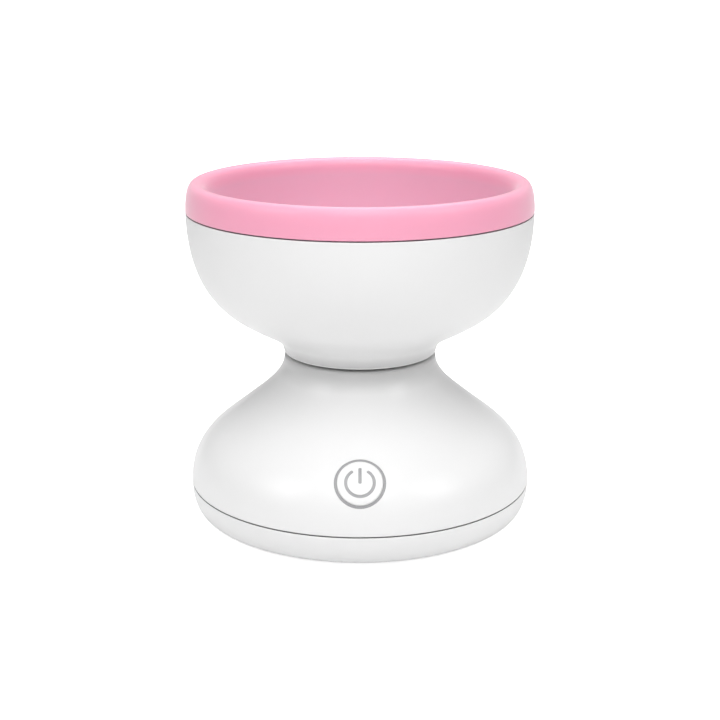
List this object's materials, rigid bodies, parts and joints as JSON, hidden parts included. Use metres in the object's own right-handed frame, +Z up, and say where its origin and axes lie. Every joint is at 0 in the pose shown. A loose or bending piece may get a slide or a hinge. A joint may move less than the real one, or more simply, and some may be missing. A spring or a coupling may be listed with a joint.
{
  "type": "electric brush cleaner",
  "caption": "Round tabletop make-up brush cleaner: a silicone-lined bowl that a geared motor spins on a waisted white base with a push button.",
  "frame": {"origin": "on the standing surface, under the middle of the base", "axes": "+Z up along the bowl's axis of rotation; the power button faces -Y; +X to the right of someone facing the button"},
  "size_m": [0.1084, 0.1084, 0.1063],
  "materials": {
    "white_shell": "gloss white moulded ABS",
    "pink_silicone": "satin pink silicone",
    "grey_trim": "grey translucent light ring",
    "black_rubber": "matt black rubber",
    "steel": "plain zinc-plated steel",
    "bronze": "sintered bronze",
    "gear_plastic": "natural acetal",
    "dark_plastic": "black nylon",
    "magnet_ferrite": "dark grey ferrite",
    "board_green": "green solder resist",
    "led_lens": "milky lens",
    "cell_wrap": "blue shrink wrap",
    "red_wire": "red PVC insulation",
    "black_wire": "black PVC insulation",
    "grey_wire": "grey PVC insulation"
  },
  "bodies": {
    "base": {"base_housing": "white_shell", "bottom_cover": "white_shell", "cover_screw_1": "steel", "cover_screw_2": "steel", "cover_screw_3": "steel", "cover_screw_4": "steel", "rubber_foot_1": "black_rubber", "rubber_foot_2": "black_rubber", "rubber_foot_3": "black_rubber", "rubber_foot_4": "black_rubber", "gear_plate": "steel", "plate_screw_1": "steel", "plate_screw_2": "steel", "plate_screw_3": "steel", "idler_pin": "steel", "upper_bush": "bronze", "lower_bush": "bronze", "thrust_washer": "bronze", "shaft_seal": "black_rubber", "motor_can": "steel", "motor_end_cap": "dark_plastic", "motor_magnet_1": "magnet_ferrite", "motor_magnet_2": "magnet_ferrite", "motor_screw_1": "steel", "motor_screw_2": "steel", "button_ring": "grey_trim", "switch_board": "board_green", "switch_body": "dark_plastic", "status_led": "led_lens", "switch_screw_1": "steel", "switch_screw_2": "steel", "main_board": "board_green", "charging_socket": "steel", "control_chip": "dark_plastic", "battery_cell": "cell_wrap", "battery_strap": "dark_plastic", "board_screw_1": "steel", "board_screw_2": "steel", "battery_lead_red": "red_wire", "battery_lead_black": "black_wire", "switch_lead": "grey_wire", "motor_lead_red": "red_wire", "motor_lead_black": "black_wire"},
    "bowl": {"bowl_shell": "white_shell", "drive_hub": "dark_plastic", "bowl_shaft": "steel", "shaft_clip": "steel", "bowl_washer": "steel", "bowl_screw": "steel", "bowl_gear": "gear_plastic", "hub_screw_1": "steel", "hub_screw_2": "steel", "hub_screw_3": "steel"},
    "liner": {"silicone_liner": "pink_silicone"},
    "idler": {"idler_gear": "gear_plastic"},
    "rotor": {"motor_rotor": "steel", "motor_pinion": "bronze"},
    "button": {"power_button": "white_shell", "switch_plunger": "black_rubber"}
  },
  "joints": [
    {"name": "bowl_spin", "type": "hinge", "parent": "base", "child": "bowl", "pos_m": [0, 0, 0.0514], "axis": [0, 0, 1], "continuous": true},
    {"name": "liner_lift", "type": "slide", "parent": "bowl", "child": "liner", "axis": [0, 0, 1], "range_m": [0, 0.045]},
    {"name": "idler_spin", "type": "hinge", "parent": "base", "child": "idler", "pos_m": [-0.0189, 0, 0.035], "axis": [0, 0, 1], "continuous": true},
    {"name": "motor_spin", "type": "hinge", "parent": "base", "child": "rotor", "pos_m": [-0.0105, -0.01455, 0.02], "axis": [0, 0, 1], "continuous": true},
    {"name": "power_button_press", "type": "slide", "parent": "base", "child": "button", "axis": [0, 0.7282, -0.6854], "range_m": [0, 0.0005], "stiffness_N_per_m": 1500, "springref_m": -0.0003}
  ],
  "couplings": [
    {"joint": "idler_spin", "follows": "bowl_spin", "ratio": -3.5},
    {"joint": "motor_spin", "follows": "bowl_spin", "ratio": 10.5}
  ]
}
